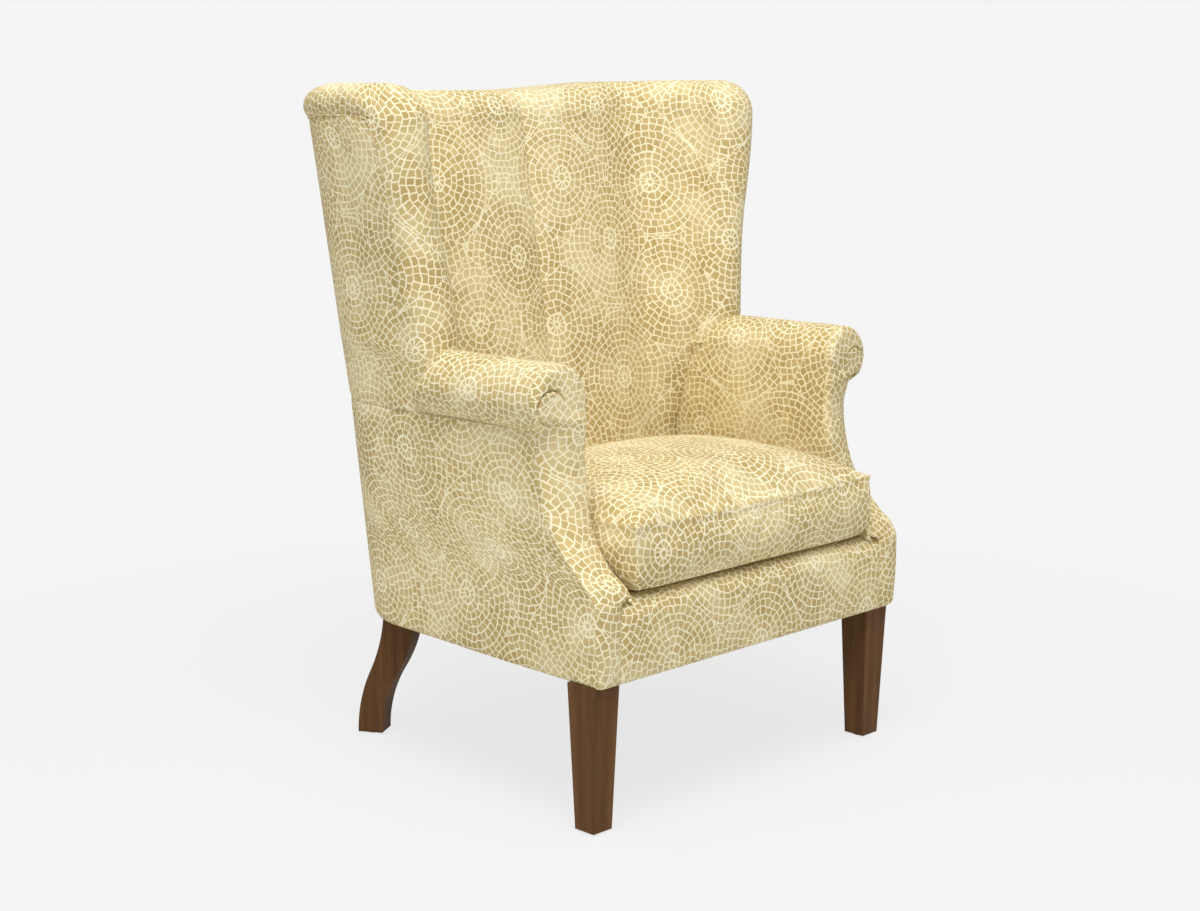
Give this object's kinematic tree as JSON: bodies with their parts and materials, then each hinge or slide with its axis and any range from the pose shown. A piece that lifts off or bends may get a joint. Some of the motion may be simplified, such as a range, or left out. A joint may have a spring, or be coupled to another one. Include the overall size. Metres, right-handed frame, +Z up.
{
  "type": "upholstered armchair",
  "caption": "Wing armchair with rolled arms, hardwood frame on tapered and sabre legs, padded covers in a mosaic print and a loose seat cushion that lifts out.",
  "frame": {"origin": "centre of the footprint box, on the floor under the feet", "axes": "+Z up, +Y to the back of the chair, +X to the right of someone facing the chair"},
  "size_m": [0.808, 0.6678, 1.05],
  "materials": {
    "mosaic_fabric": "printed upholstery cloth, small tan squares with cream joints laid in rings",
    "leg_wood": "satin walnut stain",
    "frame_wood": "unfinished hardwood",
    "steel": "plain spring steel",
    "glide_plastic": "dark moulded nylon",
    "dust_cloth": "black non-woven cloth",
    "lining": "plain cotton lining",
    "webbing": "woven jute",
    "felt": "grey needled felt",
    "foam": "upholstery foam",
    "zip_tape": "woven zip tape"
  },
  "bodies": {
    "chair": {"arm_facing_left": "mosaic_fabric", "arm_facing_right": "mosaic_fabric", "arm_pad_left": "mosaic_fabric", "arm_pad_right": "mosaic_fabric", "arm_post_left": "frame_wood", "arm_post_right": "frame_wood", "arm_rail_left": "frame_wood", "arm_rail_right": "frame_wood", "back_post_left": "frame_wood", "back_post_right": "frame_wood", "back_rail": "frame_wood", "back_webbing": "webbing", "deck_pad": "lining", "dust_cover": "dust_cloth", "floor_glides": "glide_plastic", "front_border": "mosaic_fabric", "front_corner_block_left": "frame_wood", "front_corner_block_right": "frame_wood", "front_leg_left": "leg_wood", "front_leg_right": "leg_wood", "front_rail": "frame_wood", "inside_back": "mosaic_fabric", "lower_back_rail": "frame_wood", "outside_arm_left": "mosaic_fabric", "outside_arm_right": "mosaic_fabric", "outside_back": "mosaic_fabric", "outside_wing_left": "mosaic_fabric", "outside_wing_right": "mosaic_fabric", "rear_corner_block_left": "frame_wood", "rear_corner_block_right": "frame_wood", "rear_corner_rail_left": "frame_wood", "rear_corner_rail_right": "frame_wood", "rear_leg_bolts": "steel", "rear_leg_left": "leg_wood", "rear_leg_right": "leg_wood", "scroll_welt_left": "mosaic_fabric", "scroll_welt_right": "mosaic_fabric", "seat_insulator": "felt", "seat_springs": "steel", "side_rail_left": "frame_wood", "side_rail_right": "frame_wood", "spring_clips": "steel", "top_back_rail": "frame_wood", "wing_pad_left": "mosaic_fabric", "wing_pad_right": "mosaic_fabric", "wing_post_left": "frame_wood", "wing_post_right": "frame_wood", "wing_top_rail_left": "frame_wood", "wing_top_rail_right": "frame_wood"},
    "cushion": {"cushion_cover": "mosaic_fabric", "cushion_core": "foam", "zipper_tape": "zip_tape"},
    "zip_slider": {"zipper_slider": "steel"}
  },
  "joints": [
    {"name": "cushion_lift", "type": "slide", "parent": "chair", "child": "cushion", "axis": [0, 0, 1], "range_m": [0, 0.25]},
    {"name": "zip_slide", "type": "slide", "parent": "cushion", "child": "zip_slider", "axis": [1, 0, 0], "range_m": [0, 0.33]}
  ]
}
